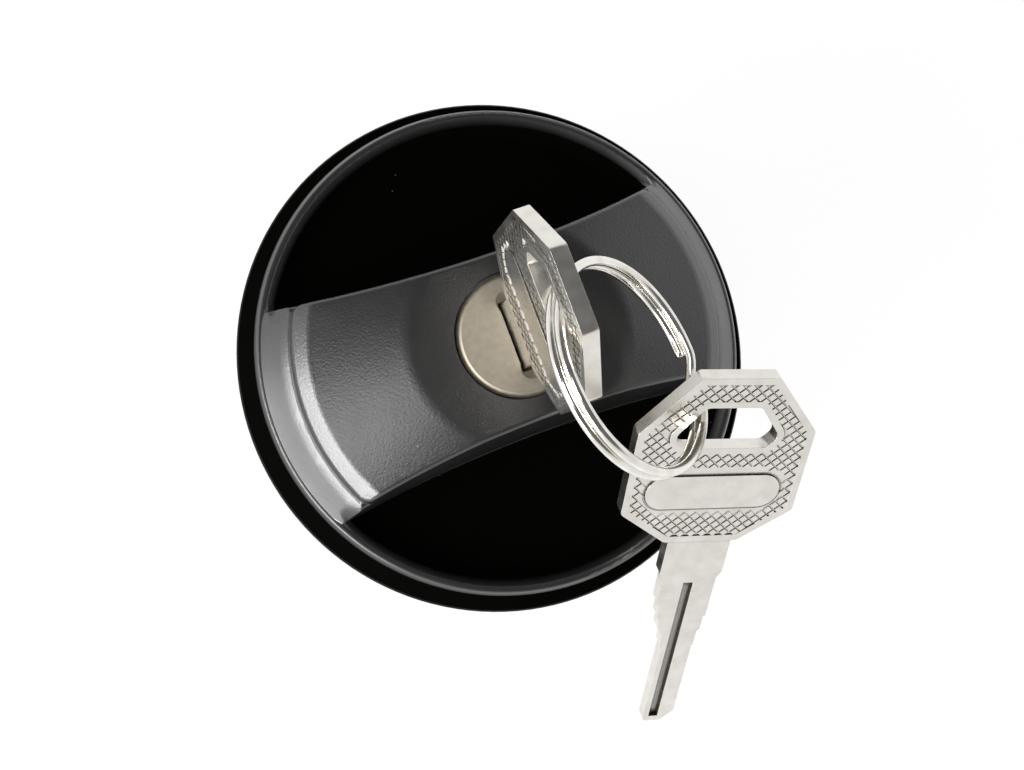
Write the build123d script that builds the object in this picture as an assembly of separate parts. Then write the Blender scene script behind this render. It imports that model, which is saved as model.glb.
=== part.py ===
from build123d import *
import math
import os

# Locking fuel filler cap with a free-spinning grip, a wafer lock and two keys.
# Frame: +Z is the cap's axis and points away from the filler neck, z = 0 is the
# gasket face that seats on the neck, and +X runs along the grip bar.
# All sizes are in millimetres.

# ---- cover: the moulded grip --------------------------------------------------
cover_r = 40.0            # radius of the rim
rim_z = 5.5               # top edge of the rim wall above the seat
rim_wall_h = 2.2          # height of the cover's own part of the rim wall
rim_chamfer = 0.4
crest_in = 3.5            # crest of the ring around the finger wells, in from the rim
crest_h = 5.5             # crest above the rim's top edge
crest_half_w = 0.4
crest_round = 0.5
well_floor_h = 2.8        # well floor above the rim's top edge
well_wall_run = 3.0       # how far the well's outer wall leans in
shell_t = 2.2             # wall of the moulding

# ---- grip bar ------------------------------------------------------------------
bar_h = 16.8              # flat top above the rim's top edge
flat_top_r = 16.3         # the top is flat inside this radius and falls outside it
bar_end_in = 9.9          # where the falling top rolls over, in from the rim
bar_end_h = 12.9
bar_roll = 0.85           # slope of the rolled end
bar_roll_round = 2.6
bar_foot_in = 7.6         # foot of the end wall, in from the rim
bar_foot_h = 9.4
bar_toe_round = 4.5       # corners of the foot that runs out to the crest
bar_toe_edge = 0.7
toe_thicker = 0.2         # the foot's wall over the bar's
bar_half_w = 12.6         # half width of the top at the waist
bar_flare = 2.6           # extra half width at the ends
bar_draft = 7.0           # degrees
bar_break_round = 9.0     # soft break between the flat top and its falling ends
bar_corner_round = 3.0
bar_edge_round = 0.9
rib_t = 1.2
rib_round_t = 1.4         # ribs of the bar
rib_in = 2.7              # outer cross rib in from the bar's end
rib_pitch = 5.0
rib_lift = 1.2            # ribs above the underside of the wells
rim_rib_pitch = 15        # degrees between the short ribs outside the bar

# ---- underside of the cover ------------------------------------------------------
thrust_in = 3.6           # ring that bears on the plug's flange, in from its edge
thrust_w = 1.6

# ---- skirt ---------------------------------------------------------------------
skirt_in = 0.4            # skirt in from the rim
skirt_drop = 5.0          # bottom of the skirt below the rim's top edge
skirt_flange_t = 2.0
parting_groove = 0.5
spigot_t = 2.0
spigot_h = 3.2
spigot_gap = 0.2

# ---- plug ----------------------------------------------------------------------
flange_past_gasket = 2.6  # plug's flange past its gasket
plug_flange_t = 2.0
flange_gap = 0.3          # axial play of the grip on the plug's flange
flange_side_gap = 1.6     # flange edge to the skirt's lip
tube_t = 2.0
tube_step = 0.8           # the bore narrows under the clutch ring
pilot_in = 0.4            # the wall below the lugs is this much smaller
pilot_drop = 0.6          # and starts this far below them
foot_chamfer = 1.2
valve_room = 7.4          # plug floor to the valve's retainer
plug_floor_t = 2.0
port_r = 6.4
lug_reach = 4.0
lug_t = 3.0
lug_top = 5.0             # top of the lugs below the seat
lug_arc = 48.0            # degrees
lug_lead = 1.2

# ---- gasket --------------------------------------------------------------------
gasket_t = 2.8
gasket_tube_gap = 0.3
gasket_w = 7.3
gasket_bead = 0.6

# ---- clutch ring ---------------------------------------------------------------
clutch_notches = 12
clutch_gap = 0.6          # ring to the lock housing that turns in it
clutch_w = 3.2            # between the ring's bore and the plug's tube
clutch_notch_depth = 1.7
clutch_h = 4.2
press_gap = 0.05          # pressed pieces
side_play = 0.3           # between pieces that turn past each other

# ---- lock housing --------------------------------------------------------------
drum_r = 13.6
drum_under_tip = 2.2      # bottom of the housing below the key's tip
drum_top_z = 5.8
neck_r = 10.7
ear_reach = 20.6
ear_w = 18.0
ear_t = 2.2
ear_z = 6.7
screw_x = 17.2
screw_r = 1.5
screw_head_r = 2.8
screw_head_h = 1.5
screw_len = 7.0
boss_r = 3.2
boss_wall = 1.9           # collar of the cover around the housing's neck
top_skin = 1.6            # cover skin above the housing

# ---- barrel --------------------------------------------------------------------
face_r = 9.2
face_t = 3.2
face_bevel = 0.7
face_gap = 0.35
core_r = 6.8
bore_gap = 0.05           # running fit of the barrel in the housing
slot_l = 10.6
slot_w = 2.9
dish_r = 2.1
tang_r = 4.4
tang_flat = 3.4

# ---- key -----------------------------------------------------------------------
key_t = 2.3
bow_w = 26.3
bow_h = 28.8
bow_edge = 11.2           # length of the bow's top and bottom edges
bow_low = 5.5             # height of the lower side corners
bow_high = 19.7           # height of the upper side corners
bow_round = 1.0
bow_border = 1.1          # raised border of the bow
field_depth = 0.2         # knurled field below the border
eye_w = 15.6
eye_top_w = 8.2
eye_foot_w = 12.4
eye_low = 17.0
eye_mid = 18.9
eye_high = 23.9
eye_round = 1.3
eye_rim = 1.0
pad_l = 20.3
pad_w = 5.8
pad_v = 9.2
pad_line = 0.35
blade_t = 2.1
blade_len = 38.0
blade_w = 8.5
blade_neck_w = 9.8
blade_neck_len = 6.2
blade_tip_w = 2.6
groove_w = 1.5
groove_depth = 0.65
groove_top = 8.2          # start of the blade's groove below the bow
bow_lift = 4.3            # bow above the lock face when the key is home
key_side_play = 0.25      # blade in its slot, across the width
key_face_play = 0.2       # blade in its slot, across the thickness

# ---- wafers --------------------------------------------------------------------
wafer_count = 8
wafer_t = 1.0
wafer_pitch = 3.0
wafer_top = 5.9           # first wafer below the lock face
wafer_half_w = 4.0
wafer_play = 0.1
cut_right = [4.25, 4.25, 3.9, 3.5, 3.3, 3.3, 3.3, 3.3]
cut_left = [4.25, 3.7, 3.1, 2.0, 1.6, 1.6, 1.6, 1.6]

# ---- bolt and cam ---------------------------------------------------------------
bolt_w = 3.6
bolt_h = 2.1
bolt_floor = 1.1          # metal of the housing under the bolt
bolt_back_r = 7.7
bolt_play = 0.1
bolt_stroke = 1.7
pin_r = 1.1
pin_at_r = 9.6
pin_play = 0.15
cam_r = 12.9
cam_t = 2.0
cam_gap = 0.3
cam_turn = 90.0           # degrees of key turn for the whole stroke
cam_over = 8.0            # slot beyond each end of the turn
cam_screw_r = 1.25
cam_screw_len = 3.0
cam_head_r = 5.0          # covers the tang and holds the cam on it
cam_head_h = 1.1

# ---- valves ---------------------------------------------------------------------
seal_r = 10.2
seal_t = 1.2
seal_hole_r = 3.4
disc_r = 9.9
disc_t = 1.6
disc_hub_r = 5.6
disc_hub_h = 1.4
retainer_t = 1.2
retainer_gap = 2.7        # retainer's underside below the cam
retainer_hole_r = 5.2
retainer_vents = 6
retainer_vent_r = 1.7
retainer_vent_in = 3.55    # middle of the vents, in from the retainer's edge
spring_r = 7.2
spring_wire = 0.9
spring_turns = 3.0
poppet_r = 4.9
poppet_t = 1.1
stem_r = 1.2
stem_gap = 1.4            # stem below the retainer
clip_r = 2.5
clip_t = 0.7
small_spring_r = 1.85
small_spring_wire = 0.4
small_spring_turns = 3.0
seat_gap = 0.05           # pieces that rest on each other

# ---- key ring --------------------------------------------------------------------
ring_r = 14.85            # middle of the wire
ring_wire = 1.4
ring_turn_gap = 0.06
ring_bend = 20.0          # degrees that the crossing takes
ring_centre = (7.79, -10.56, 40.88)
ring_axis = (0.6507, 0.0416, 0.7582)
ring_end_turn = 348.0     # where the crossing lies, degrees about the ring's axis

# ---- spare key -------------------------------------------------------------------
spare_foot = (15.05, -36.57, 19.47)
spare_across = (0.9456, -0.3225, -0.0423)
spare_face = (-0.1862, -0.6432, 0.7427)

# ---- heights and radii that follow ------------------------------------------------
crest_r = cover_r - crest_in
bar_end_r = cover_r - bar_end_in
bar_foot_r = cover_r - bar_foot_in
skirt_r = cover_r - skirt_in
clutch_inner_r = drum_r + clutch_gap
tube_inner_r = clutch_inner_r + clutch_w
tube_r = tube_inner_r + tube_t
lug_r = tube_r + lug_reach
gasket_inner_r = tube_r + gasket_tube_gap
gasket_outer_r = gasket_inner_r + gasket_w
plug_flange_r = gasket_outer_r + flange_past_gasket
retainer_r = tube_inner_r - tube_step - press_gap
cover_foot_z = rim_z - rim_wall_h
floor_z = rim_z + well_floor_h
floor_under_z = floor_z - shell_t
bar_top_z = rim_z + bar_h
crest_z = rim_z + crest_h
skirt_z = rim_z - skirt_drop
flange_z = gasket_t
flange_top_z = flange_z + plug_flange_t
pilot_r = tube_r - pilot_in
pilot_z = -lug_top - lug_t - pilot_drop
face_z = bar_top_z
head_z = face_z - face_t
bow_z = face_z + bow_lift
tip_z = bow_z - blade_len
lip_z = bar_top_z - top_skin
drum_bottom_z = tip_z - drum_under_tip
bolt_z = drum_bottom_z + bolt_floor
clutch_seat_z = bolt_z - side_play - 1.4
cam_z = drum_bottom_z - cam_gap
retainer_z = cam_z - cam_t - retainer_gap
plug_floor_z = retainer_z - valve_room
plug_z = plug_floor_z - plug_floor_t
stem_top_z = retainer_z - stem_gap
wafer_heights = [face_z - wafer_top - i * wafer_pitch for i in range(wafer_count)]
seal_z = plug_floor_z + seat_gap
disc_z = seal_z + seal_t
disc_top_z = disc_z + disc_t
ring_pitch = ring_wire + ring_turn_gap


# ---- helpers -----------------------------------------------------------------------
def section(points, rounds=None):
    """Face in the XZ plane from (radius, height) corners, with rounded corners."""
    corners = [Vector(r, 0, z) for r, z in points]
    face = make_face(Polyline(*corners, close=True)).face()
    for index, radius in (rounds or {}).items():
        corner = min(face.vertices(), key=lambda v: (Vector(*v) - corners[index]).length)
        face = face.fillet_2d(radius, [corner])
    return face


def turned(points, rounds=None, arc=360):
    """Solid turned about Z from (radius, height) corners."""
    return revolve(section(points, rounds), Axis.Z, arc)


def drum(radius, low, high):
    return Pos(0, 0, low) * extrude(Circle(radius), high - low)


def tube(outer, inner, low, high):
    return Pos(0, 0, low) * extrude(Circle(outer) - Circle(inner), high - low)


def block(x, y, z):
    """Box from three (low, high) pairs."""
    size = [pair[1] - pair[0] for pair in (x, y, z)]
    middle = [(pair[0] + pair[1]) / 2 for pair in (x, y, z)]
    return Pos(*middle) * Box(*size)


# ---- cover -------------------------------------------------------------------------
def bar_plan(trim):
    """Waisted outline of the grip bar at the well floor, drawn in by trim."""
    reach = cover_r
    waist = bar_half_w + (bar_h - well_floor_h) * math.tan(math.radians(bar_draft)) - trim
    end = waist + bar_flare * (reach / bar_foot_r) ** 2
    upper = ThreePointArc((-reach, end), (0, waist), (reach, end))
    lower = ThreePointArc((reach, -end), (0, -waist), (-reach, -end))
    sides = [Line(upper @ 1, lower @ 0), Line(lower @ 1, upper @ 0)]
    return make_face([upper, sides[0], lower, sides[1]]).face()


def bar_prism(trim, low, high, end_r, corner):
    """The outline pulled up with the mould's draft, between the heights low and high."""
    step = (floor_z - low) * math.tan(math.radians(bar_draft))
    plan = (bar_plan(trim - step) & Circle(end_r + step)).face()
    plan = plan.fillet_2d(corner, plan.vertices())
    prism = extrude(plan, high - low, taper=bar_draft)
    if prism.bounding_box().min.Z < -1:
        prism = mirror(prism, about=Plane.XY)
    return Pos(0, 0, low) * prism


def bar_body(inset, low, high):
    """The bar above the wells: flat top, falling ends that roll over, rounded corners."""
    lean = (bar_foot_h - well_floor_h) * math.tan(math.radians(bar_draft))
    top = bar_top_z - inset
    end_z = rim_z + bar_end_h - inset
    points = [
        (0, low - 1),
        (cover_r, low - 1),
        (cover_r, end_z - bar_roll * bar_end_in),
        (bar_end_r, end_z),
        (flat_top_r, top),
        (0, top),
    ]
    skin = inset == 0
    dome = turned(points, {3: bar_roll_round, 4: bar_break_round} if skin else {})
    corner = max(bar_corner_round - inset, 0.8)
    return dome & bar_prism(inset, low, high, bar_foot_r + lean - inset, corner)


def bar_toe(inset, low):
    """The bar's foot, which runs out to the crest around the wells."""
    foot_z = rim_z + bar_foot_h - inset
    points = [
        (0, low - 1),
        (crest_r - inset, low - 1),
        (crest_r - inset, crest_z - 0.05 - inset),
        (bar_foot_r + 0.4 - inset, foot_z),
        (0, foot_z),
    ]
    return turned(points) & bar_prism(inset, low, bar_top_z, cover_r - 1, bar_toe_round)


def rim_profile():
    """Rim wall, slanted outer face, crest, and the wall down to the well floor."""
    points = [
        (0, floor_under_z),
        (crest_r - shell_t - 0.6, floor_under_z),
        (cover_r - shell_t, rim_z - 0.4),
        (cover_r - shell_t, cover_foot_z),
        (cover_r - parting_groove, cover_foot_z),
        (cover_r, cover_foot_z + parting_groove),
        (cover_r, rim_z - rim_chamfer),
        (cover_r - rim_chamfer, rim_z),
        (crest_r + crest_half_w, crest_z),
        (crest_r - crest_half_w, crest_z - 0.1),
        (crest_r - well_wall_run, floor_z),
        (0, floor_z),
    ]
    return turned(points, {8: crest_round, 9: crest_round * 0.6, 10: 1.6})


def grip_cover():
    low = floor_z - 0.5
    bar = bar_body(0, low, bar_top_z + 1)
    ridge = [
        e for e in bar.edges()
        if e.center().Z > rim_z + bar_foot_h and abs(e.tangent_at(0.5).Z) < 0.5
        and (abs(e.center().Y) > bar_half_w / 2 or abs(e.center().X) > bar_end_r - 2)
    ]
    bar = fillet(ridge, bar_edge_round)
    toe = bar_toe(0, low)
    rim_edges = [e for e in toe.edges() if e.center().Z > crest_z - 1 and abs(e.center().Y) > bar_half_w / 2]
    toe = fillet([e for e in rim_edges if abs(e.tangent_at(0.5).Z) < 0.7], bar_toe_edge)
    outer = rim_profile() + toe + bar

    low = floor_under_z - 1
    shell = outer - bar_body(shell_t, low, lip_z - 0.6) - bar_toe(shell_t + toe_thicker, low)

    collar_low = ear_z + ear_t + 0.1
    collar = drum(neck_r + 0.2 + boss_wall, collar_low, lip_z)
    bosses = [Pos(side * screw_x, 0, 0) * drum(boss_r, collar_low, bar_top_z) for side in (-1, 1)]
    ribs = [
        block((-bar_end_r + 1, bar_end_r - 1), (-rib_round_t / 2, rib_round_t / 2), (collar_low, bar_top_z)),
    ]
    for side in (-1, 1):
        for x in (bar_end_r - rib_in - rib_pitch, bar_end_r - rib_in):
            low = floor_under_z + rib_lift
            span = block((side * x - rib_t / 2, side * x + rib_t / 2), (-bar_end_r, bar_end_r), (low, bar_top_z))
            ribs.append(span)
    inside = collar
    for piece in bosses + ribs:
        inside += piece
    shell += inside & bar_body(0.8, floor_under_z, bar_top_z)

    thrust_r = plug_flange_r - thrust_in
    shell += tube(thrust_r, thrust_r - thrust_w, flange_top_z + flange_gap, floor_under_z + 0.5)
    rib_places = [turn for turn in range(0, 360, rim_rib_pitch) if abs(thrust_r * math.sin(math.radians(turn))) > bar_half_w]
    rim_rib = block((thrust_r + 0.6, crest_r - shell_t - 0.2), (-rib_t / 2, rib_t / 2),
                    (floor_under_z - 0.9, floor_under_z + 0.5))
    for turn in rib_places:
        shell += Rot(0, 0, turn) * rim_rib

    shell -= drum(neck_r + 0.2, floor_under_z - 1, lip_z)
    shell -= drum(face_r + face_gap, lip_z - 1, bar_top_z + 1)
    for side in (-1, 1):
        shell -= Pos(side * screw_x, 0, 0) * drum(screw_r - 0.25, collar_low - 1, ear_z + ear_t + screw_len)
    return shell


def grip_skirt():
    lip_r = plug_flange_r - flange_side_gap
    top = skirt_z + skirt_flange_t
    spigot_r = cover_r - shell_t - spigot_gap
    points = [
        (lip_r, skirt_z + 0.5),
        (lip_r + 0.5, skirt_z),
        (skirt_r - 0.8, skirt_z),
        (skirt_r, skirt_z + 0.8),
        (skirt_r, cover_foot_z - parting_groove),
        (skirt_r - parting_groove, cover_foot_z),
        (spigot_r, cover_foot_z),
        (spigot_r, top + spigot_h - 0.8),
        (spigot_r - spigot_t, top + spigot_h - 0.8),
        (spigot_r - spigot_t, top),
        (lip_r, top),
    ]
    ring = turned(points)
    groove_r = skirt_r - 3.6
    groove_z = skirt_z + 0.7
    step = turned([(groove_r - 1.6, skirt_z - 1), (groove_r, skirt_z - 1), (groove_r, groove_z), (groove_r - 1.6, groove_z)])
    gap = block((spigot_r - spigot_t - 1, spigot_r + 0.1), (-1.5, 1.5), (cover_foot_z + 0.4, top + spigot_h))
    ring -= step
    for location in PolarLocations(0, 6):
        ring -= location * gap
    return ring


# ---- plug --------------------------------------------------------------------------
def plug_body():
    ledge_r = tube_inner_r - tube_step
    points = [
        (port_r, plug_z),
        (pilot_r - foot_chamfer, plug_z),
        (pilot_r, plug_z + foot_chamfer),
        (pilot_r, pilot_z),
        (tube_r, pilot_z + pilot_in),
        (tube_r, flange_z),
        (plug_flange_r - 0.4, flange_z),
        (plug_flange_r, flange_z + 0.4),
        (plug_flange_r, flange_top_z - 0.3),
        (plug_flange_r - 0.3, flange_top_z),
        (tube_inner_r + 0.6, flange_top_z),
        (tube_inner_r, flange_top_z - 0.6),
        (tube_inner_r, clutch_seat_z),
        (ledge_r, clutch_seat_z),
        (ledge_r, retainer_z - seat_gap),
        (ledge_r - 1.2, retainer_z - seat_gap),
        (ledge_r - 1.2, plug_floor_z),
        (port_r, plug_floor_z),
    ]
    body = turned(points)
    lug = turned(
        [
            (tube_r - 0.5, -lug_top - lug_t),
            (lug_r - lug_lead, -lug_top - lug_t),
            (lug_r, -lug_top - lug_t + lug_lead),
            (lug_r, -lug_top),
            (tube_r - 0.5, -lug_top),
        ],
        arc=lug_arc,
    )
    stop = turned(
        [
            (tube_r - 0.5, -lug_top - lug_t),
            (lug_r - lug_lead, -lug_top - lug_t),
            (lug_r - lug_lead, -gasket_bead),
            (tube_r - 0.5, -gasket_bead),
        ],
        arc=5,
    )
    for side in (0, 180):
        body += Rot(0, 0, side - lug_arc / 2) * lug
        body += Rot(0, 0, side + lug_arc / 2 - 5) * stop
    return body


def gasket():
    mid = (gasket_inner_r + gasket_outer_r) / 2
    half = (gasket_outer_r - gasket_inner_r) / 4
    points = [
        (gasket_inner_r, 0.5),
        (gasket_inner_r + 0.5, 0.1),
        (mid - half, 0.1),
        (mid - half * 0.6, 0.0),
        (mid + half * 0.6, 0.0),
        (mid + half, 0.1),
        (gasket_outer_r - 0.8, 0.1),
        (gasket_outer_r, 0.9),
        (gasket_outer_r, gasket_t - 0.5),
        (gasket_outer_r - 0.5, gasket_t),
        (gasket_inner_r, gasket_t),
    ]
    return turned(points)


def clutch_ring():
    outer = tube_inner_r - press_gap
    ring = tube(outer, clutch_inner_r, clutch_seat_z, clutch_seat_z + clutch_h)
    notch_w = bolt_w + 2 * side_play
    notch_r = clutch_inner_r + clutch_notch_depth
    notch = block((clutch_inner_r - 1, notch_r), (-notch_w / 2, notch_w / 2), (clutch_seat_z - 1, 10))
    for location in PolarLocations(0, clutch_notches):
        ring -= location * notch
    return ring


# ---- lock --------------------------------------------------------------------------
def screw_places():
    return [Pos(side * screw_x, 0, 0) for side in (-1, 1)]


def lock_housing():
    body = drum(drum_r, drum_bottom_z, drum_top_z)
    body += drum(neck_r, drum_top_z, lip_z - 0.1)
    ears = extrude(SlotOverall(2 * ear_reach, ear_w), ear_t)
    body += Pos(0, 0, ear_z) * ears
    body = chamfer(body.edges().group_by(Axis.Z)[0].filter_by(GeomType.CIRCLE), 0.5)
    body -= drum(core_r + bore_gap, drum_bottom_z - 1, lip_z)
    body -= drum(face_r + bore_gap, head_z - 0.05, lip_z + 1)
    for place in screw_places():
        body -= place * drum(screw_r + 0.15, ear_z - 1, ear_z + ear_t + 1)
    channel_w = bolt_w / 2 + bolt_play
    body -= block((core_r - 0.5, drum_r + 1), (-channel_w, channel_w), (bolt_z - bolt_play, bolt_z + bolt_h + bolt_play))
    slot_half = pin_r + pin_play
    first = pin_at_r - slot_half
    last = pin_at_r + bolt_stroke + slot_half
    body -= block((first, last), (-slot_half, slot_half), (drum_bottom_z - 1, bolt_z))
    return body


def housing_screws():
    screws = []
    for place in screw_places():
        head = drum(screw_head_r, ear_z - screw_head_h, ear_z)
        head = fillet(head.edges().group_by(Axis.Z)[0], 0.7)
        screw = head + drum(screw_r - 0.25, ear_z - 0.5, ear_z + ear_t + screw_len - 1)
        for turn in (0, 90):
            cross = block((-1.5, 1.5), (-0.3, 0.3), (ear_z - screw_head_h - 1, ear_z - screw_head_h + 0.9))
            screw -= Rot(0, 0, turn) * cross
        screws.append(place * screw)
    return Compound(children=screws)


def lock_barrel():
    body = drum(core_r, cam_z + seat_gap, head_z + 0.1)
    head = drum(face_r, head_z, face_z)
    head = chamfer(head.edges().group_by(Axis.Z)[-1], face_bevel)
    body += head
    tang = drum(tang_r, cam_z - cam_t + 0.1, cam_z + 0.2)
    tang &= block((-tang_r, tang_r), (-tang_flat, tang_flat), (cam_z - cam_t, cam_z + 0.2))
    body += tang
    body -= block((-slot_w / 2, slot_w / 2), (-slot_l / 2, slot_l / 2), (head_z, face_z + 1))
    keyway_w = blade_t / 2 + key_face_play
    keyway_l = blade_w / 2 + key_side_play
    body -= block((-keyway_w, keyway_w), (-keyway_l, keyway_l), (tip_z - 0.4, face_z))
    for side in (-1, 1):
        dish = Pos(0, side * (slot_l / 2 - 0.3), face_z + dish_r * 0.55) * Sphere(dish_r)
        body -= dish
    for z in wafer_heights:
        half = wafer_t / 2 + wafer_play
        reach = wafer_half_w + wafer_play
        body -= block((-reach, reach), (-core_r - 1, core_r + 1), (z - half, z + half))
    body -= drum(cam_screw_r - 0.1, cam_z - cam_t, cam_z - cam_t + cam_screw_len + 0.3)
    return body


def wafer(index):
    z = wafer_heights[index]
    plate = extrude(Circle(core_r - 0.1), wafer_t / 2, both=True)
    plate &= Box(2 * wafer_half_w, 4 * core_r, 2 * wafer_t)
    low = -cut_right[index] - key_side_play
    high = cut_left[index] + key_side_play
    half = blade_t / 2 + key_face_play + 0.1
    plate -= block((-half, half), (low, high), (-wafer_t, wafer_t))
    return Pos(0, 0, z) * plate


def cam_edge(offset):
    """Points along one side of the cam's spiral slot."""
    points = []
    steps = 8
    for i in range(steps + 1):
        turn = -cam_over + (cam_turn + 2 * cam_over) * i / steps
        radius = pin_at_r + bolt_stroke * turn / cam_turn + offset
        angle = math.radians(turn)
        points.append((radius * math.cos(angle), radius * math.sin(angle)))
    return points


def lock_cam():
    half = pin_r + pin_play
    outside = Spline(*cam_edge(half))
    inside = Spline(*cam_edge(-half))
    ends = [Line(outside @ 0, inside @ 0), Line(outside @ 1, inside @ 1)]
    slot = make_face([outside, ends[1], inside, ends[0]])
    plate = Circle(cam_r) - slot
    hole = Circle(tang_r + press_gap) & Rectangle(4 * tang_r, 2 * (tang_flat + press_gap))
    plate -= hole
    return Pos(0, 0, cam_z - cam_t) * extrude(plate, cam_t)


def cam_screw():
    top = cam_z - cam_t
    head = drum(cam_head_r, top - cam_head_h, top)
    head = fillet(head.edges().group_by(Axis.Z)[0], 0.5)
    screw = head + drum(cam_screw_r - 0.1, top - 0.5, top + cam_screw_len)
    screw -= block((-3.2, 3.2), (-0.4, 0.4), (top - cam_head_h - 1, top - cam_head_h + 0.6))
    return screw


def bolt():
    tip = drum_r + 0.25
    body = block((bolt_back_r, tip), (-bolt_w / 2, bolt_w / 2), (bolt_z, bolt_z + bolt_h))
    nose = body.edges().filter_by(Axis.Z).group_by(Axis.X)[-1]
    body = chamfer(nose, 0.5)
    pin = Pos(pin_at_r, 0, 0) * drum(pin_r, cam_z - cam_t + 0.2, bolt_z + 0.5)
    return body + pin


# ---- keys --------------------------------------------------------------------------
def bow_outline():
    half = bow_w / 2
    edge = bow_edge / 2
    return [
        (-edge, 0), (edge, 0), (half, bow_low), (half, bow_high),
        (edge, bow_h), (-edge, bow_h), (-half, bow_high), (-half, bow_low),
    ]


def eye_outline():
    return [
        (-eye_foot_w / 2, eye_low), (eye_foot_w / 2, eye_low), (eye_w / 2, eye_mid),
        (eye_top_w / 2, eye_high), (-eye_top_w / 2, eye_high), (-eye_w / 2, eye_mid),
    ]


def rounded(points, radius):
    face = make_face(Polyline(*points, close=True)).face()
    return face.fillet_2d(radius, face.vertices())


def blade_outline():
    """Blade below the bow, with the steps cut for the wafers on both sides."""
    def side(cuts, sign):
        half = blade_w / 2
        points = [(sign * blade_neck_w / 2, 1.0), (sign * blade_neck_w / 2, -blade_neck_len)]
        points.append((sign * half, -blade_neck_len - 1.2))
        width = half
        for height, cut in zip(wafer_heights, cuts):
            v = height - bow_z
            if cut < width:
                points.append((sign * width, v + wafer_t / 2 + 0.25 + width - cut))
                points.append((sign * cut, v + wafer_t / 2 + 0.25))
                width = cut
        points.append((sign * width, -blade_len + width - blade_tip_w / 2))
        points.append((sign * blade_tip_w / 2, -blade_len))
        return points
    right = side(cut_right, 1)
    left = side(cut_left, -1)
    return make_face(Polyline(*(right + left[::-1]), close=True)).face()


def key_blank():
    """One key, flat in XY: bow above y = 0, blade below, thickness centred on z."""
    bow = rounded(bow_outline(), bow_round)
    eye = rounded(eye_outline(), eye_round)
    body = extrude(bow, key_t / 2, both=True)
    body += extrude(blade_outline(), blade_t / 2, both=True)
    body -= extrude(eye, key_t, both=True)
    pad = Pos(0, pad_v) * SlotOverall(pad_l, pad_w)
    pad_edge = Pos(0, pad_v) * SlotOverall(pad_l + 2 * pad_line, pad_w + 2 * pad_line)
    field = offset(bow, -bow_border) - offset(eye, eye_rim) - pad_edge
    line = pad_edge - pad
    groove_len = blade_len - groove_top - 1.0
    for side in (-1, 1):
        sunk = Pos(0, 0, side * (key_t / 2 - field_depth / 2))
        body -= sunk * extrude(field, field_depth / 2, both=True)
        body -= sunk * extrude(line, field_depth / 2 + 0.05, both=True)
        centre_y = -groove_top - groove_len / 2
        depth = blade_t / 2 - groove_depth / 2
        body -= Pos(0, centre_y, side * depth) * Box(groove_w, groove_len, groove_depth)
    return body


def key_in_lock(blank):
    home = Plane(origin=(0, 0, bow_z), x_dir=(0, -1, 0), z_dir=(-1, 0, 0))
    return home.location * blank


def spare_key(blank):
    hung = Plane(origin=spare_foot, x_dir=spare_across, z_dir=spare_face)
    return hung.location * blank


def key_ring():
    """Two turns of round wire side by side, joined by one crossing bend."""
    half_pitch = ring_pitch / 2
    start = ring_bend / 2
    span = 360 - ring_bend
    wire = Plane.XZ * Pos(ring_r, 0) * Circle(ring_wire / 2)
    turn = Rot(0, 0, start) * revolve(wire, Axis.Z, span)
    ring = Pos(0, 0, -half_pitch) * turn
    ring += Pos(0, 0, half_pitch) * turn
    ends = []
    for angle, height in ((-start, -half_pitch), (start, half_pitch)):
        a = math.radians(angle)
        ends.append(Vector(ring_r * math.cos(a), ring_r * math.sin(a), height))
    along = Plane(origin=ends[0], z_dir=ends[1] - ends[0])
    ring += extrude(along * Circle(ring_wire / 2 - 0.02), (ends[1] - ends[0]).length)
    for end in ends:
        ring += Pos(*end) * Sphere(ring_wire / 2 - 0.01)
    frame = Plane(origin=ring_centre, z_dir=ring_axis)
    return frame.location * Rot(0, 0, ring_end_turn) * ring


# ---- valves ------------------------------------------------------------------------
def coil(radius, wire, low, high, turns):
    """Open coil spring with its wire just inside low and high."""
    height = high - low - wire
    path = Helix(height / turns, height, radius)
    start = Plane(origin=path @ 0, z_dir=path % 0)
    spring = sweep(start * Circle(wire / 2), path=path, is_frenet=True)
    return Pos(0, 0, low + wire / 2) * spring


def valve_seal():
    return tube(seal_r, seal_hole_r, seal_z, seal_z + seal_t)


def pressure_disc():
    body = drum(disc_r, disc_z, disc_top_z) + drum(disc_hub_r, disc_top_z - 0.1, disc_top_z + disc_hub_h)
    body -= drum(disc_hub_r - 1.2, disc_top_z, disc_top_z + disc_hub_h + 1)
    body -= drum(stem_r + side_play, disc_z - 1, disc_top_z + 1)
    for location in PolarLocations(2.4, 4, start_angle=45):
        body -= location * drum(0.5, disc_z - 1, disc_top_z + 1)
    return body


def spring_retainer():
    body = tube(retainer_r, retainer_hole_r, retainer_z, retainer_z + retainer_t)
    for location in PolarLocations(retainer_r - retainer_vent_in, retainer_vents):
        body -= location * drum(retainer_vent_r, retainer_z - 1, retainer_z + retainer_t + 1)
    return body


def pressure_spring():
    return coil(spring_r, spring_wire, disc_top_z + seat_gap, retainer_z - seat_gap, spring_turns)


def vacuum_poppet():
    head_top = seal_z - seat_gap
    head = drum(poppet_r, head_top - poppet_t, head_top)
    head = chamfer(head.edges().group_by(Axis.Z)[0], 0.4)
    return head + drum(stem_r, head_top - 0.3, stem_top_z)


def poppet_clip():
    clip_z = stem_top_z - 0.4 - clip_t
    clip = tube(clip_r, stem_r, clip_z, clip_z + clip_t)
    return clip - block((0, clip_r + 1), (-0.7, 0.7), (clip_z - 1, clip_z + clip_t + 1))


def vacuum_spring():
    clip_z = stem_top_z - 0.4 - clip_t
    return coil(small_spring_r, small_spring_wire, disc_top_z + seat_gap, clip_z - seat_gap, small_spring_turns)


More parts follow.
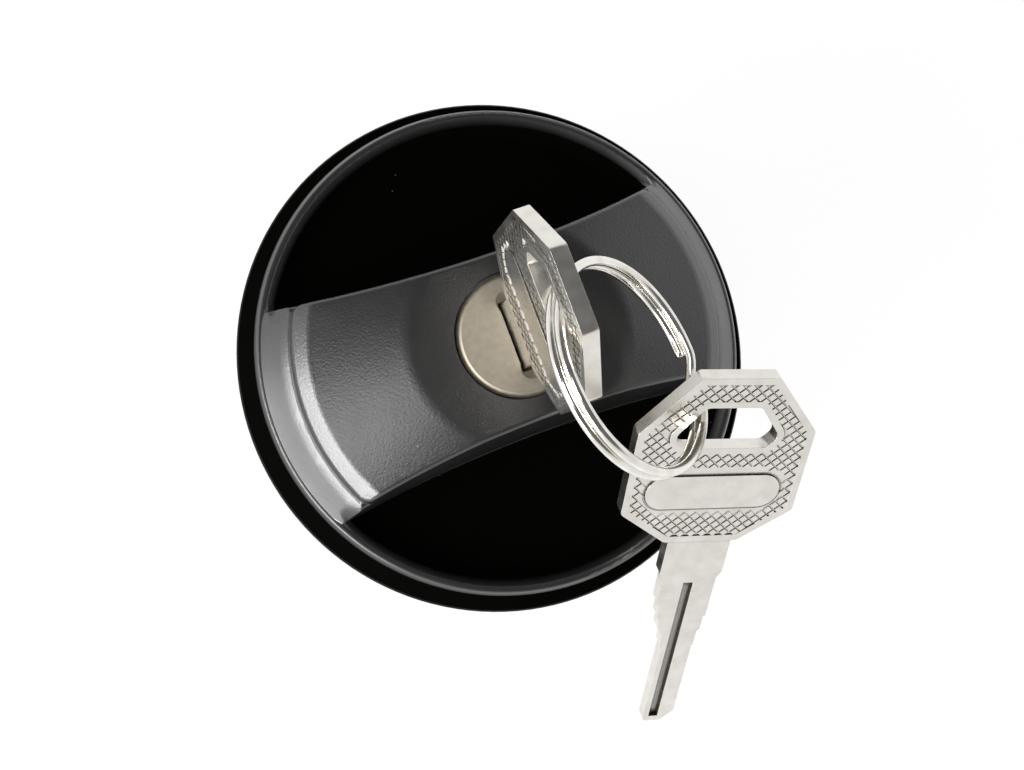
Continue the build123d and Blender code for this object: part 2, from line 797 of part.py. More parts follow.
# ---- build -------------------------------------------------------------------------
def build():
    blank = key_blank()
    parts = {
        "plug_body": plug_body(),
        "gasket": gasket(),
        "clutch_ring": clutch_ring(),
        "spring_retainer": spring_retainer(),
        "pressure_spring": pressure_spring(),
        "pressure_disc": pressure_disc(),
        "valve_seal": valve_seal(),
        "vacuum_spring": vacuum_spring(),
        "vacuum_poppet": vacuum_poppet(),
        "poppet_clip": poppet_clip(),
        "grip_cover": grip_cover(),
        "grip_skirt": grip_skirt(),
        "lock_housing": lock_housing(),
        "housing_screws": housing_screws(),
        "lock_barrel": lock_barrel(),
        "lock_cam": lock_cam(),
        "cam_screw": cam_screw(),
        "bolt": bolt(),
        "key_in_lock": key_in_lock(blank),
        "key_ring": key_ring(),
        "spare_key": spare_key(blank),
    }
    for index in range(wafer_count):
        parts[f"wafer_{index + 1}"] = wafer(index)
    return parts


os.makedirs("parts", exist_ok=True)
for name, shape in build().items():
    export_step(shape, f"parts/{name}.step")
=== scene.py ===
import math

import bmesh
import bpy
from mathutils import Matrix, Vector


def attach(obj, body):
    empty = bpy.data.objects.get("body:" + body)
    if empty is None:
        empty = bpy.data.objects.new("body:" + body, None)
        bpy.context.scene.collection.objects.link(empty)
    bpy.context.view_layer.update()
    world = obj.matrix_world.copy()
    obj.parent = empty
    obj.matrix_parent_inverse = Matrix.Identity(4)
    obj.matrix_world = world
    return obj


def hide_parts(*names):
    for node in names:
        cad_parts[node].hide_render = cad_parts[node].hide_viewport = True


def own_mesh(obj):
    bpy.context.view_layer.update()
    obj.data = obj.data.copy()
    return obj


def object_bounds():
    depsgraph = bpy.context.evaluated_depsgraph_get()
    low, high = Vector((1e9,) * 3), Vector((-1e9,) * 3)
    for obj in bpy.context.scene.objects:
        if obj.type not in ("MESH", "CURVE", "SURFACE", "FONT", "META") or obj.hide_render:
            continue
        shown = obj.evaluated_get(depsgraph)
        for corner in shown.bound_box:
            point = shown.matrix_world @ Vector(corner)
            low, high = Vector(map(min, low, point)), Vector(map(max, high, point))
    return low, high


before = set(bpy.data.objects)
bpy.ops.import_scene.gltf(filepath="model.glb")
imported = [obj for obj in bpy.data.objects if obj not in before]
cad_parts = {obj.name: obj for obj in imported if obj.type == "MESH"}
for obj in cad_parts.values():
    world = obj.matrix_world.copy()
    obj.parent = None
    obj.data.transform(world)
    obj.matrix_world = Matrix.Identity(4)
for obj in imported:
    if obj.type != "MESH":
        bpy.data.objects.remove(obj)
cad_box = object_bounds()
MM = 0.001


# ---- small helpers -----------------------------------------------------------------
def colour(code):
    """sRGB hex to the linear colour that the shaders use."""
    channels = [int(code[i:i + 2], 16) / 255 for i in (1, 3, 5)]
    linear = [c / 12.92 if c <= 0.04045 else ((c + 0.055) / 1.055) ** 2.4 for c in channels]
    return (*linear, 1.0)


def feed(node, inputs):
    """Fills or links a node's inputs by name or number. A node gives its first output."""
    for name, value in inputs.items():
        if isinstance(value, bpy.types.Node):
            value = value.outputs[0]
        if isinstance(value, bpy.types.NodeSocket):
            node.id_data.links.new(value, node.inputs[name])
        else:
            node.inputs[name].default_value = value


def add(tree, kind, inputs=None, **settings):
    """Adds a node with its settings and inputs."""
    node = tree.nodes.new(kind)
    for name, value in settings.items():
        setattr(node, name, value)
    feed(node, inputs or {})
    return node


def surface(name):
    """A new material: its tree, its shader, and the object's own coordinates."""
    material = bpy.data.materials.new(name)
    material.use_nodes = True
    tree = material.node_tree
    shader = tree.nodes["Principled BSDF"]
    place = add(tree, "ShaderNodeTexCoord").outputs["Object"]
    return material, tree, shader, place


# ---- finishes ----------------------------------------------------------------------
# Inputs by number: Map Range takes 0 from 1..2 to 3..4, and holds it at both ends. Math
# works on 0 and 1. Mix goes from colour 6 to colour 7 by 0, and its colour is output 2.
# A noise of scale 1 / size has lumps of about that size.
NOISE_LOW, NOISE_HIGH = 0.3, 0.7      # nearly all of a noise lies between these


def grained_nylon():
    """Injection-moulded black nylon: a leathery mould grain on the bar breaks up the
    light to a soft grey sheen. Painted shade: by height, the wells and the slanted
    outer face get the darkest colour and no reflection, so they stay black."""
    well_edge_low, well_edge_high = 9.8 * MM, 10.7 * MM
    step_top, step_foot = 5.4 * MM, 5.1 * MM
    bar_foot, bar_shoulder = 12.5 * MM, 15.0 * MM
    skirt_gloss = 0.16
    grain_off_bar = 0.25
    grain_size, grain_depth, grain_strength = 0.38 * MM, 0.05 * MM, 0.6
    patch_size = 9.0 * MM
    speck_spacing, speck_patch_size = 3.1 * MM, 4.0 * MM
    speck_outside, speck_inside = 0.050, 0.035      # shares of the spacing
    patch_outside, patch_inside = 0.58, 0.62

    material, tree, shader, place = surface("black_nylon_grained")
    height = add(tree, "ShaderNodeSeparateXYZ", {"Vector": place}).outputs["Z"]
    # painted shade: between the skirt and the crest, the wells and slanted face get the darkest colour
    # and no reflection
    above_wells = add(tree, "ShaderNodeMapRange", {0: height, 1: well_edge_low, 2: well_edge_high})
    skirt = add(tree, "ShaderNodeMapRange", {0: height, 1: step_top, 2: step_foot, 4: skirt_gloss})
    outside_painted_shade = add(tree, "ShaderNodeMath", {0: above_wells, 1: skirt}, operation="MAXIMUM")
    base = add(
        tree, "ShaderNodeMix", {0: outside_painted_shade, 6: colour("#050504"), 7: colour("#0C0C0C")},
        data_type="RGBA",
    ).outputs[2]

    # a few specks of dust, in patches
    cells = add(
        tree, "ShaderNodeTexVoronoi",
        {"Vector": place, "Scale": 1 / speck_spacing, "Randomness": 1.0},
    )
    dust = add(tree, "ShaderNodeMapRange", {0: cells, 1: speck_outside, 2: speck_inside})
    spread = add(
        tree, "ShaderNodeTexNoise", {"Vector": place, "Scale": 1 / speck_patch_size, "Detail": 0.0},
    )
    rare = add(tree, "ShaderNodeMapRange", {0: spread, 1: patch_outside, 2: patch_inside})
    speck = add(tree, "ShaderNodeMath", {0: dust, 1: rare}, operation="MULTIPLY")
    dusty = add(
        tree, "ShaderNodeMix", {0: speck, 6: base, 7: colour("#6E6A64")}, data_type="RGBA",
    ).outputs[2]

    # the mould grain, deepest on the bar
    grain = add(tree, "ShaderNodeTexNoise", {"Vector": place, "Scale": 1 / grain_size, "Detail": 2.0})
    on_bar = add(
        tree, "ShaderNodeMapRange", {0: height, 1: bar_foot, 2: bar_shoulder, 3: grain_off_bar},
    )
    deep = add(tree, "ShaderNodeMath", {0: grain, 1: on_bar}, operation="MULTIPLY")
    patches = add(
        tree, "ShaderNodeTexNoise", {"Vector": place, "Scale": 1 / patch_size, "Detail": 2.0},
    )
    feed(shader, {
        "Base Color": dusty,
        "Roughness": add(
            tree, "ShaderNodeMapRange", {0: patches, 1: NOISE_LOW, 2: NOISE_HIGH, 3: 0.33, 4: 0.38},
        ),
        "Specular IOR Level": outside_painted_shade,
        "Normal": add(
            tree, "ShaderNodeBump",
            {"Height": deep, "Distance": grain_depth, "Strength": grain_strength},
        ),
        "IOR": 1.58,
    })
    return material


def plain_nylon():
    """Black nylon from a polished mould, for the plug and the clutch ring."""
    flow_size = 12.0 * MM
    skin_size, skin_depth, skin_strength = 0.8 * MM, 0.02 * MM, 0.3
    material, tree, shader, place = surface("black_nylon_plain")
    flow = add(tree, "ShaderNodeTexNoise", {"Vector": place, "Scale": 1 / flow_size, "Detail": 2.0})
    skin = add(tree, "ShaderNodeTexNoise", {"Vector": place, "Scale": 1 / skin_size, "Detail": 2.0})
    feed(shader, {
        "Base Color": add(
            tree, "ShaderNodeMix", {0: flow, 6: colour("#101011"), 7: colour("#1A1A1B")},
            data_type="RGBA",
        ).outputs[2],
        "Roughness": add(
            tree, "ShaderNodeMapRange", {0: flow, 1: NOISE_LOW, 2: NOISE_HIGH, 3: 0.34, 4: 0.44},
        ),
        "Normal": add(
            tree, "ShaderNodeBump", {"Height": skin, "Distance": skin_depth, "Strength": skin_strength},
        ),
    })
    return material


def seal_rubber():
    """Moulded nitrile rubber: matt, with a faint bloom."""
    bloom_size = 5.0 * MM
    skin_size, skin_depth, skin_strength = 0.35 * MM, 0.03 * MM, 0.5
    material, tree, shader, place = surface("nitrile_rubber")
    bloom = add(tree, "ShaderNodeTexNoise", {"Vector": place, "Scale": 1 / bloom_size, "Detail": 4.0})
    skin = add(tree, "ShaderNodeTexNoise", {"Vector": place, "Scale": 1 / skin_size, "Detail": 2.0})
    feed(shader, {
        "Base Color": add(
            tree, "ShaderNodeMix", {0: bloom, 6: colour("#131313"), 7: colour("#242322")},
            data_type="RGBA",
        ).outputs[2],
        "Roughness": 0.72,
        "Normal": add(
            tree, "ShaderNodeBump", {"Height": skin, "Distance": skin_depth, "Strength": skin_strength},
        ),
    })
    return material


def acetal():
    """Moulded natural acetal for the valves: waxy off-white, slightly see-through."""
    flow_size = 6.0 * MM
    material, tree, shader, place = surface("natural_acetal")
    flow = add(tree, "ShaderNodeTexNoise", {"Vector": place, "Scale": 1 / flow_size, "Detail": 2.0})
    feed(shader, {
        "Base Color": add(
            tree, "ShaderNodeMix", {0: flow, 6: colour("#DAD6CA"), 7: colour("#E6E3D9")},
            data_type="RGBA",
        ).outputs[2],
        "Roughness": 0.38,
        "Subsurface Weight": 0.15,
        "Subsurface Radius": (2.0 * MM, 1.8 * MM, 1.4 * MM),
    })
    return material


def metal(name, dark, light, rough, cloud_mm, grain_mm, depth_mm):
    """A metal whose tone and polish drift over cloud_mm, with a fine surface grain."""
    grain_strength = 0.5
    material, tree, shader, place = surface(name)
    cloud = add(
        tree, "ShaderNodeTexNoise", {"Vector": place, "Scale": 1 / (cloud_mm * MM), "Detail": 3.0},
    )
    grain = add(
        tree, "ShaderNodeTexNoise", {"Vector": place, "Scale": 1 / (grain_mm * MM), "Detail": 2.0},
    )
    share = add(tree, "ShaderNodeMapRange", {0: cloud, 1: NOISE_LOW, 2: NOISE_HIGH})
    feed(shader, {
        "Base Color": add(
            tree, "ShaderNodeMix", {0: share, 6: colour(dark), 7: colour(light)}, data_type="RGBA",
        ).outputs[2],
        "Metallic": 1.0,
        "Roughness": add(
            tree, "ShaderNodeMapRange",
            {0: cloud, 1: NOISE_LOW, 2: NOISE_HIGH, 3: rough[0], 4: rough[1]},
        ),
        "Normal": add(
            tree, "ShaderNodeBump",
            {"Height": grain, "Distance": depth_mm * MM, "Strength": grain_strength},
        ),
    })
    return material


def with_painted_recess_shade(material, code, reach_mm):
    """Painted shade: a metal's colour darkens in its grooves and recesses, where little open sky is
    over a point, and its polish dulls there.
    """
    unshaded_from, full_shade_from = 0.95, 0.68       # shares of open sky over a point
    dulling = 0.35
    tree = material.node_tree
    shader = tree.nodes["Principled BSDF"]
    unshaded_colour = shader.inputs["Base Color"].links[0].from_socket
    polish = shader.inputs["Roughness"].links[0].from_socket
    open_sky = add(
        tree, "ShaderNodeAmbientOcclusion", {"Distance": reach_mm * MM}, samples=8, only_local=True,
    ).outputs["AO"]
    # painted shade: darker where little open sky is over a point
    recess_shade = add(tree, "ShaderNodeMapRange", {0: open_sky, 1: unshaded_from, 2: full_shade_from})
    dull = add(tree, "ShaderNodeMath", {0: recess_shade, 1: dulling}, operation="MULTIPLY")
    feed(shader, {
        "Base Color": add(
            tree, "ShaderNodeMix", {0: recess_shade, 6: unshaded_colour, 7: colour(code)}, data_type="RGBA",
        ).outputs[2],
        "Roughness": add(tree, "ShaderNodeMath", {0: polish, 1: dull}, operation="ADD"),
    })
    return material


finish = {
    # die-cast zinc under satin nickel: warm grey, evenly dull
    "satin_nickel": metal(
        "satin_nickel_plate", "#A69E90", "#B4AC9E", rough=(0.60, 0.68),
        cloud_mm=0.9, grain_mm=0.30, depth_mm=0.025,
    ),
    # stamped brass under bright nickel: near-white, a little yellow, with painted shade in the knurl
    # and grooves
    "bright_nickel": with_painted_recess_shade(
        metal(
            "bright_nickel_plate", "#DEDAD2", "#ECE9E3", rough=(0.26, 0.32),
            cloud_mm=2.5, grain_mm=0.5, depth_mm=0.006,
        ),
        "#3E3A32", reach_mm=1.4,
    ),
    # hard-drawn steel wire, nickel plated and tumbled bright
    "bright_wire": metal(
        "bright_nickel_wire", "#E2DED6", "#F4F2EE", rough=(0.10, 0.18),
        cloud_mm=2.0, grain_mm=0.4, depth_mm=0.006,
    ),
    # pressed steel with clear zinc plate: bluish grey, slightly cloudy
    "zinc_plate": metal(
        "zinc_plated_steel", "#A9ACAF", "#C6C8C9", rough=(0.30, 0.44),
        cloud_mm=1.5, grain_mm=0.4, depth_mm=0.010,
    ),
    # unplated spring wire: dark grey with drawing marks
    "spring_wire": metal(
        "spring_steel_wire", "#7E7D7B", "#98979A", rough=(0.28, 0.38),
        cloud_mm=0.8, grain_mm=0.2, depth_mm=0.008,
    ),
    # bare zinc casting: grey with a soft skin
    "zinc_casting": metal(
        "zinc_casting", "#8F9194", "#A6A8AA", rough=(0.40, 0.52),
        cloud_mm=2.2, grain_mm=0.6, depth_mm=0.020,
    ),
    # stamped brass sheet: yellow, slightly cloudy
    "wafer_brass": metal(
        "brass_sheet", "#B59A5C", "#CDB377", rough=(0.28, 0.40),
        cloud_mm=1.2, grain_mm=0.3, depth_mm=0.008,
    ),
    "grained_nylon": grained_nylon(),
    "plain_nylon": plain_nylon(),
    "seal_rubber": seal_rubber(),
    "acetal": acetal(),
}

NODE_FINISH = {
    "grip_cover": "grained_nylon", "grip_skirt": "grained_nylon",
    "plug_body": "plain_nylon", "clutch_ring": "plain_nylon",
    "gasket": "seal_rubber", "valve_seal": "seal_rubber",
    "pressure_disc": "acetal", "vacuum_poppet": "acetal",
    "spring_retainer": "zinc_plate", "lock_cam": "zinc_plate", "cam_screw": "zinc_plate",
    "housing_screws": "zinc_plate", "bolt": "zinc_plate",
    "pressure_spring": "spring_wire", "vacuum_spring": "spring_wire", "poppet_clip": "spring_wire",
    "lock_housing": "zinc_casting", "lock_barrel": "satin_nickel",
    "key_in_lock": "bright_nickel", "spare_key": "bright_nickel", "key_ring": "bright_wire",
}
for name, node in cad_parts.items():
    key = "wafer_brass" if name.startswith("wafer") else NODE_FINISH[name]
    node.data.materials.clear()
    node.data.materials.append(finish[key])


# ---- pieces --------------------------------------------------------------------------
MERGE = 0.5e-6            # metres; points of the CAD mesh this close are one
FLAT_DEG = 0.6            # faces this level with each other join before an edge is eased
SHARP_DEG = 32.0          # an edge sharper than this is left sharp, or eased where asked
EASE_STEPS = 2
AREA_WEIGHT = 60          # above 50, large faces lead the shading


def new_piece(name, mesh, material):
    """A finished piece at the origin, with one material."""
    piece = bpy.data.objects.new(name, mesh)
    bpy.context.scene.collection.objects.link(piece)
    mesh.materials.clear()
    mesh.materials.append(material)
    return piece


def evaluated(piece):
    """The piece's mesh with its modifiers applied, as a plain new mesh."""
    bpy.context.view_layer.update()
    graph = bpy.context.evaluated_depsgraph_get()
    return bpy.data.meshes.new_from_object(piece.evaluated_get(graph))


def smooth_shell(node, name, body, key, edge_mm=0.0):
    """A merged copy of a CAD node with smooth shading and, if asked, eased edges."""
    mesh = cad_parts[node].data.copy()
    work = bmesh.new()
    work.from_mesh(mesh)
    bmesh.ops.remove_doubles(work, verts=work.verts, dist=MERGE)
    if edge_mm:
        flat = math.radians(FLAT_DEG)
        bmesh.ops.dissolve_limit(work, angle_limit=flat, verts=work.verts, edges=work.edges)
    work.to_mesh(mesh)
    work.free()
    piece = new_piece(name, mesh, finish[key])
    if edge_mm:
        ease = piece.modifiers.new("ease", "BEVEL")
        ease.width = edge_mm * MM
        ease.segments = EASE_STEPS
        ease.limit_method = "ANGLE"
        ease.angle_limit = math.radians(SHARP_DEG)
    mesh.polygons.foreach_set("use_smooth", [True] * len(mesh.polygons))
    mesh.set_sharp_from_angle(angle=math.radians(SHARP_DEG))
    level = piece.modifiers.new("level", "WEIGHTED_NORMAL")
    level.keep_sharp = not edge_mm
    level.weight = AREA_WEIGHT
    piece.data = evaluated(piece)
    piece.modifiers.clear()
    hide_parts(node)
    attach(piece, body)
    return piece


smooth_shell("grip_cover", "cover_shell", "grip", "grained_nylon")
smooth_shell("grip_skirt", "skirt_shell", "grip", "grained_nylon")
smooth_shell("lock_barrel", "barrel_shell", "barrel", "satin_nickel", edge_mm=0.22)
smooth_shell("plug_body", "plug_shell", "plug", "plain_nylon")
smooth_shell("gasket", "gasket_shell", "plug", "seal_rubber")
smooth_shell("key_in_lock", "key_shell", "key", "bright_nickel", edge_mm=0.10)
smooth_shell("spare_key", "spare_shell", "spare", "bright_nickel", edge_mm=0.10)


def valve_coil(node, name, body):
    """A coil spring: a smooth-shaded copy with a mesh of its own."""
    coil = smooth_shell(node, name, body, "spring_wire")
    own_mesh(coil)


valve_coil(
    "pressure_spring", "pressure_coil", "plug",
)
valve_coil(
    "vacuum_spring", "vacuum_coil", "pressure_valve",
)


# ---- knurled fields of the keys --------------------------------------------------------
# In a key's own millimetres: x across the bow, y up from the bow's foot, z out of its face.
KEY_T = 2.3
FIELD_DEPTH = 0.2
BOW = [
    (-5.6, 0), (5.6, 0), (13.15, 5.5), (13.15, 19.7),
    (5.6, 28.8), (-5.6, 28.8), (-13.15, 19.7), (-13.15, 5.5),
]
EYE = [(-6.2, 17.0), (6.2, 17.0), (7.8, 18.9), (4.1, 23.9), (-4.1, 23.9), (-7.8, 18.9)]
BOW_BORDER = 1.1
EYE_RIM = 1.0
PAD_CENTRE = 9.2
PAD_LENGTH = 20.3
PAD_WIDTH = 5.8
PAD_LINE = 0.35
KNURL_PITCH_X = 1.7
KNURL_PITCH_Y = 1.6
KNURL_GAP = 0.14
KNURL_TOP = 0.85          # share of a diamond's foot that its flat top keeps
KNURL_RISE = 0.19
KNURL_HEIGHT = 30         # the rows are tried from the bow's foot up to here
KNURL_HALF_WIDTH = 14     # and this far to each side
UNDER_BORDER = 0.25       # how far under the border a diamond's centre may lie
UNDER_EYE_RIM = 0.15      # and under the eye's rim
OFF_PAD_LINE = 0.45       # how far it stays off the line round the pad

KEY_ORIGIN = Vector((0, 0, 26.6))
KEY_ACROSS = Vector((0, -1, 0))
KEY_FACE = Vector((-1, 0, 0))
SPARE_ORIGIN = Vector((15.05, -36.57, 19.47))
SPARE_ACROSS = Vector((0.9456, -0.3225, -0.0423))
SPARE_FACE = Vector((-0.1862, -0.6432, 0.7427))


def key_matrix(origin, across, face):
    """From a key's own millimetres to metres in the frame."""
    z = face.normalized()
    x = (across - across.dot(z) * z).normalized()
    y = z.cross(x)
    turn = Matrix((x, y, z)).transposed().to_4x4()
    return Matrix.Scale(MM, 4) @ Matrix.Translation(origin) @ turn


def inside_by(outline, x, y):
    """How far inside a convex outline a point lies; negative outside."""
    depths = []
    for (ax, ay), (bx, by) in zip(outline, outline[1:] + outline[:1]):
        length = math.hypot(bx - ax, by - ay)
        depths.append(((bx - ax) * (y - ay) - (by - ay) * (x - ax)) / length)
    return min(depths)


def from_pad(x, y):
    """Distance from the middle line of the oval pad."""
    reach = (PAD_LENGTH - PAD_WIDTH) / 2
    return math.hypot(x - max(-reach, min(reach, x)), y - PAD_CENTRE)


def knurl_places():
    """Centres of the knurl's diamonds over one face of the bow, in staggered rows."""
    places = []
    row_step = KNURL_PITCH_Y / 2
    columns = int(KNURL_HALF_WIDTH / KNURL_PITCH_X)
    for row in range(int(KNURL_HEIGHT / row_step)):
        y = row * KNURL_PITCH_Y / 2
        shift = KNURL_PITCH_X / 2 if row % 2 else 0
        for column in range(-columns, columns + 1):
            x = column * KNURL_PITCH_X + shift
            in_bow = inside_by(BOW, x, y) > BOW_BORDER - UNDER_BORDER
            off_eye = inside_by(EYE, x, y) < -EYE_RIM + UNDER_EYE_RIM
            off_pad = from_pad(x, y) > PAD_WIDTH / 2 + PAD_LINE + OFF_PAD_LINE
            if in_bow and off_eye and off_pad:
                places.append((x, y, 0))
    return places


def knurl_tree():
    """Geometry nodes: a flat-topped diamond on every point."""
    tree = bpy.data.node_groups.new("knurl_diamonds", "GeometryNodeTree")
    face = tree.interface
    face.new_socket("Geometry", in_out="INPUT", socket_type="NodeSocketGeometry")
    for label in ("Width", "Height", "Rise", "Top"):
        face.new_socket(label, in_out="INPUT", socket_type="NodeSocketFloat")
    face.new_socket("Material", in_out="INPUT", socket_type="NodeSocketMaterial")
    face.new_socket("Geometry", in_out="OUTPUT", socket_type="NodeSocketGeometry")
    given = add(tree, "NodeGroupInput").outputs
    diamond = add(
        tree, "GeometryNodeMeshCone",
        {"Vertices": 4, "Radius Top": given["Top"], "Radius Bottom": 1.0, "Depth": 1.0},
    )
    size = add(
        tree, "ShaderNodeCombineXYZ",
        {"X": given["Width"], "Y": given["Height"], "Z": given["Rise"]},
    )
    sized = add(tree, "GeometryNodeTransform", {"Geometry": diamond, "Scale": size})
    placed = add(
        tree, "GeometryNodeInstanceOnPoints", {"Points": given["Geometry"], "Instance": sized},
    )
    real = add(tree, "GeometryNodeRealizeInstances", {"Geometry": placed})
    faced = add(tree, "GeometryNodeSetMaterial", {"Geometry": real, "Material": given["Material"]})
    add(tree, "NodeGroupOutput", {"Geometry": faced})
    return tree


def socket_id(tree, label):
    """The identifier by which a modifier knows one of a tree's inputs."""
    for item in tree.interface.items_tree:
        if item.item_type == "SOCKET" and item.in_out == "INPUT" and item.name == label:
            return item.identifier
    raise KeyError(label)


def knurled_faces(name, matrix, body, tree):
    """Both knurled faces of one key."""
    points = bpy.data.meshes.new(name + "_points")
    points.from_pydata(knurl_places(), [], [])
    seed = bpy.data.objects.new(name + "_points", points)
    bpy.context.scene.collection.objects.link(seed)
    diamonds = seed.modifiers.new("diamonds", "NODES")
    diamonds.node_group = tree
    values = {
        "Width": (KNURL_PITCH_X - KNURL_GAP) / 2, "Height": (KNURL_PITCH_Y - KNURL_GAP) / 2,
        "Rise": KNURL_RISE, "Top": KNURL_TOP, "Material": finish["bright_nickel"],
    }
    for label, value in values.items():
        diamonds[socket_id(tree, label)] = value
    one_face = evaluated(seed)
    bpy.data.objects.remove(seed)
    floor = KEY_T / 2 - FIELD_DEPTH
    work = bmesh.new()
    for turn in (0, math.pi):
        side = one_face.copy()
        side.transform(Matrix.Rotation(turn, 4, "Y") @ Matrix.Translation((0, 0, floor)))
        work.from_mesh(side)
        bpy.data.meshes.remove(side)
    mesh = bpy.data.meshes.new(name)
    work.to_mesh(mesh)
    work.free()
    mesh.transform(matrix)
    piece = new_piece(name, mesh, finish["bright_nickel"])
    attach(piece, body)


diamond_tree = knurl_tree()
knurled_faces("key_knurl", key_matrix(KEY_ORIGIN, KEY_ACROSS, KEY_FACE), "key", diamond_tree)
knurled_faces("spare_knurl", key_matrix(SPARE_ORIGIN, SPARE_ACROSS, SPARE_FACE), "spare", diamond_tree)


# ---- split ring ------------------------------------------------------------------------
RING_R = 14.85
RING_WIRE = 1.4
RING_PITCH = 1.46
RING_BEND = 20.0          # degrees over which the wire crosses to its second turn
RING_CENTRE = Vector((7.79, -10.56, 40.88))
RING_AXIS = Vector((0.6507, 0.0416, 0.7582))
RING_END_TURN = 348.0
RING_STEP = 2.5           # degrees from one section of the wire to the next
WIRE_SIDES = 18
END_DOME = 0.45           # height of the wire's domed end, as a share of its radius
END_STEPS = (0.35, 0.62, 0.85)


def ring_matrix():
    """From the ring's own millimetres to metres in the frame. Its own x is square to its
    axis and has no part along the frame's y, as in the CAD."""
    z = RING_AXIS.normalized()
    x = Vector((z.z, 0, -z.x)).normalized()
    y = z.cross(x)
    turn = Matrix((x, y, z)).transposed().to_4x4()
    spin = Matrix.Rotation(math.radians(RING_END_TURN), 4, "Z")
    return Matrix.Scale(MM, 4) @ Matrix.Translation(RING_CENTRE) @ turn @ spin


def ring_line():
    """Middle line of the wire: one turn, the crossing bend, and the second turn."""
    half_bend = RING_BEND / 2
    line = []
    total = 2 * (360 - RING_BEND) + RING_BEND
    for i in range(int(total / RING_STEP) + 1):
        angle = half_bend + i * RING_STEP
        across = (angle - (360 - half_bend)) / RING_BEND
        share = max(0.0, min(1.0, across))
        eased = share * share * (3 - 2 * share)
        z = (eased - 0.5) * RING_PITCH
        turn = math.radians(angle)
        line.append(Vector((RING_R * math.cos(turn), RING_R * math.sin(turn), z)))
    return line


def bridge(work, first, second):
    """Faces between two loops of the wire."""
    for k in range(WIRE_SIDES):
        n = (k + 1) % WIRE_SIDES
        work.faces.new((first[k], first[n], second[n], second[k]))


def wire_mesh(name, line, radius):
    """Round wire along a line, with domed ends."""
    work = bmesh.new()
    loops = []
    for index, point in enumerate(line):
        ahead = line[min(index + 1, len(line) - 1)] - line[max(index - 1, 0)]
        ahead.normalize()
        out = Vector((point.x, point.y, 0)).normalized()
        up = ahead.cross(out).normalized()
        out = up.cross(ahead)
        loop = []
        for k in range(WIRE_SIDES):
            a = 2 * math.pi * k / WIRE_SIDES
            loop.append(work.verts.new(point + radius * (math.cos(a) * out + math.sin(a) * up)))
        loops.append(loop)
    for first, second in zip(loops, loops[1:]):
        bridge(work, first, second)
    ends = (
        (loops[0], line[0], line[0] - line[1]),
        (loops[-1], line[-1], line[-1] - line[-2]),
    )
    for loop, point, way in ends:
        way.normalize()
        last = loop
        for share in END_STEPS:
            height = radius * END_DOME * math.sin(share * math.pi / 2)
            narrow = math.cos(share * math.pi / 2)
            step = [work.verts.new(point + way * height + (v.co - point) * narrow) for v in loop]
            bridge(work, last, step)
            last = step
        work.faces.new(last)
    bmesh.ops.recalc_face_normals(work, faces=work.faces)
    mesh = bpy.data.meshes.new(name)
    work.to_mesh(mesh)
    work.free()
    mesh.polygons.foreach_set("use_smooth", [True] * len(mesh.polygons))
    return mesh


def split_ring():
    """The key ring, in place of the CAD's plainer wire."""
    mesh = wire_mesh("split_ring", ring_line(), RING_WIRE / 2)
    mesh.transform(ring_matrix())
    piece = new_piece("split_ring", mesh, finish["bright_wire"])
    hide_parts("key_ring")
    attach(piece, "ring")


split_ring()


# ---- studio ------------------------------------------------------------------------------
FLOOR_HALF = 3.0          # metres
FLOOR_DROP = 0.02         # mm below the cap's lowest face, so that the two never coincide
FLOOR_GLOW = 1.08
GLOW_SHARE = 0.86         # the rest is matt white, which takes the cap's shadow
WALL_TOP = 0.42           # this and the next are sines of a height above the horizon
CEILING_FROM = 0.62
WALL_LIGHT = 0.9
CEILING_LIGHT = 0.14


def pale_floor():
    """A matt white floor under the cap. It looks white to the eye and in reflections,
    and from below it is clear."""
    low = cad_box[0][2] - FLOOR_DROP * MM
    half = FLOOR_HALF
    corners = [(-half, -half, low), (half, -half, low), (half, half, low), (-half, half, low)]
    mesh = bpy.data.meshes.new("floor")
    mesh.from_pydata(corners, [], [(0, 1, 2, 3)])
    material, tree, shader, _ = surface("matt_white_floor")
    feed(shader, {"Base Color": colour("#E8E8E6"), "Roughness": 0.9, "Specular IOR Level": 0.0})
    path = add(tree, "ShaderNodeLightPath").outputs
    seen = path["Is Camera Ray"]
    for ray in ("Is Glossy Ray", "Is Transmission Ray"):
        seen = add(tree, "ShaderNodeMath", {0: seen, 1: path[ray]}, operation="MAXIMUM")
    share = add(tree, "ShaderNodeMath", {0: seen, 1: GLOW_SHARE}, operation="MULTIPLY")
    glow = add(tree, "ShaderNodeEmission", {"Color": (1, 1, 1, 1), "Strength": FLOOR_GLOW})
    from_above = add(tree, "ShaderNodeMixShader", {0: share, 1: shader, 2: glow})
    below = add(tree, "ShaderNodeNewGeometry").outputs["Backfacing"]
    clear = add(tree, "ShaderNodeBsdfTransparent")
    sided = add(tree, "ShaderNodeMixShader", {0: below, 1: from_above, 2: clear})
    feed(tree.nodes["Material Output"], {"Surface": sided})
    floor = new_piece("floor", mesh, material)


def studio_world():
    """White walls up to WALL_TOP, a dim ceiling above, and white wherever the eye looks."""
    world = bpy.data.worlds.new("studio")
    bpy.context.scene.world = world
    world.use_nodes = True
    tree = world.node_tree
    tree.nodes.clear()
    way = add(tree, "ShaderNodeTexCoord").outputs["Generated"]
    height = add(tree, "ShaderNodeSeparateXYZ", {"Vector": way}).outputs["Z"]
    light = add(
        tree, "ShaderNodeMapRange",
        {0: height, 1: WALL_TOP, 2: CEILING_FROM, 3: WALL_LIGHT, 4: CEILING_LIGHT},
    )
    eye = add(tree, "ShaderNodeLightPath").outputs["Is Camera Ray"]
    strength = add(tree, "ShaderNodeMath", {0: light, 1: eye}, operation="MAXIMUM")
    sky = add(tree, "ShaderNodeBackground", {"Color": (1, 1, 1, 1), "Strength": strength})
    add(tree, "ShaderNodeOutputWorld", {"Surface": sky})


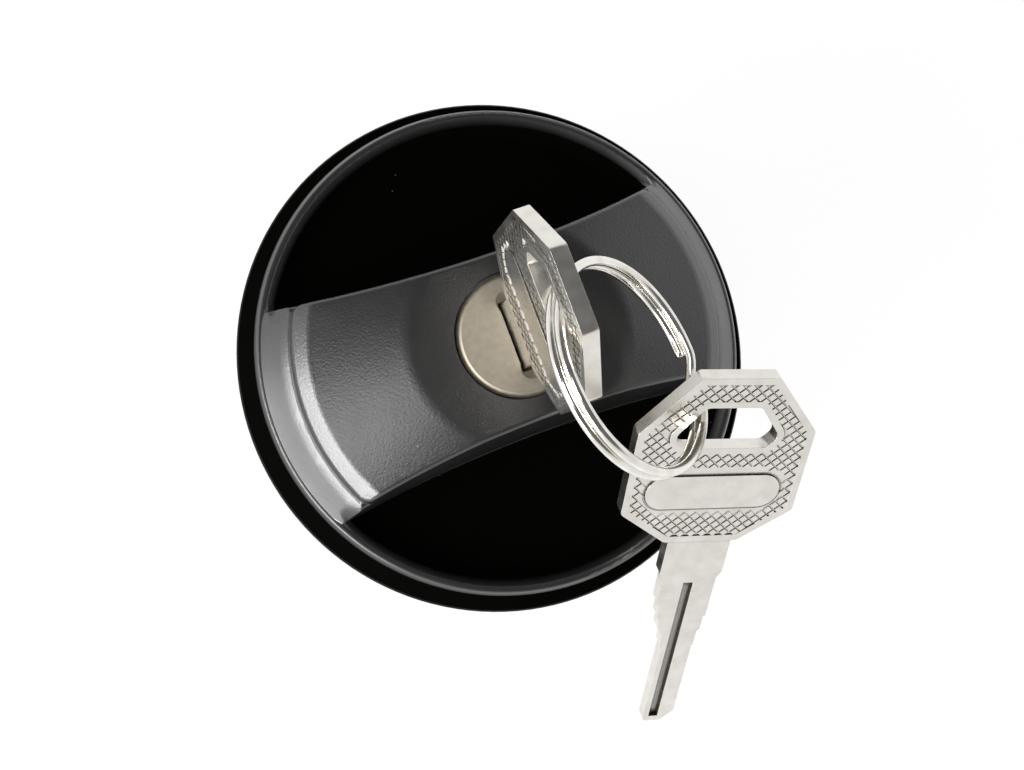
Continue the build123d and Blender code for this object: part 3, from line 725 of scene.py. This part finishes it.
def soft_lamp(name, azimuth_deg, height_deg, distance, width, tall, radiance):
    """A soft box that faces the cap. radiance is what a mirror would show of it."""
    data = bpy.data.lights.new(name, "AREA")
    data.shape = "RECTANGLE"
    data.size = width
    data.size_y = tall
    data.energy = radiance * math.pi * width * tall
    lamp = bpy.data.objects.new(name, data)
    bpy.context.scene.collection.objects.link(lamp)
    around, above = math.radians(azimuth_deg), math.radians(height_deg)
    spot = Vector((
        math.cos(around) * math.cos(above), math.sin(around) * math.cos(above), math.sin(above),
    ))
    lamp.location = spot * distance
    lamp.rotation_euler = spot.to_track_quat("Z", "Y").to_euler()


def camera():
    """Above the cap, leaning to its left, with the bar about 20 degrees off level."""
    azimuth, tilt, roll = (math.radians(v) for v in (193.4958, 13.4963, 56.2029))
    distance, side, rise = 214.349, 2.1466, -5.1264
    rim_top = 5.5
    focal_px, picture_width_px = 1375.774, 1024
    back = Vector((
        math.cos(azimuth) * math.sin(tilt), math.sin(azimuth) * math.sin(tilt), math.cos(tilt),
    ))
    level = Vector((-math.sin(azimuth), math.cos(azimuth), 0))
    above = back.cross(level)
    right = math.cos(roll) * level + math.sin(roll) * above
    up = -math.sin(roll) * level + math.cos(roll) * above
    data = bpy.data.cameras.new("camera")
    data.sensor_width = 36.0
    data.lens = focal_px * data.sensor_width / picture_width_px
    data.clip_start = 0.01
    data.clip_end = 20.0
    eye = bpy.data.objects.new("camera", data)
    bpy.context.scene.collection.objects.link(eye)
    place = (back * distance + side * right + rise * up + Vector((0, 0, rim_top))) * MM
    eye.matrix_world = Matrix.Translation(place) @ Matrix((right, up, back)).transposed().to_4x4()
    bpy.context.scene.camera = eye


pale_floor()
studio_world()
# high over the bar's left slope, for its soft highlight
soft_lamp("left_box", 186, 61, distance=0.60, width=0.18, tall=0.20, radiance=5.8)
# low on the left, for the bar's rolled end and its toe
soft_lamp("left_strip", 192, 21, distance=0.70, width=0.80, tall=0.28, radiance=12.0)
# a weak fill on the right
soft_lamp("right_box", 5, 38, distance=0.80, width=0.60, tall=0.26, radiance=0.5)
camera()
bpy.context.scene.view_settings.view_transform = "Standard"
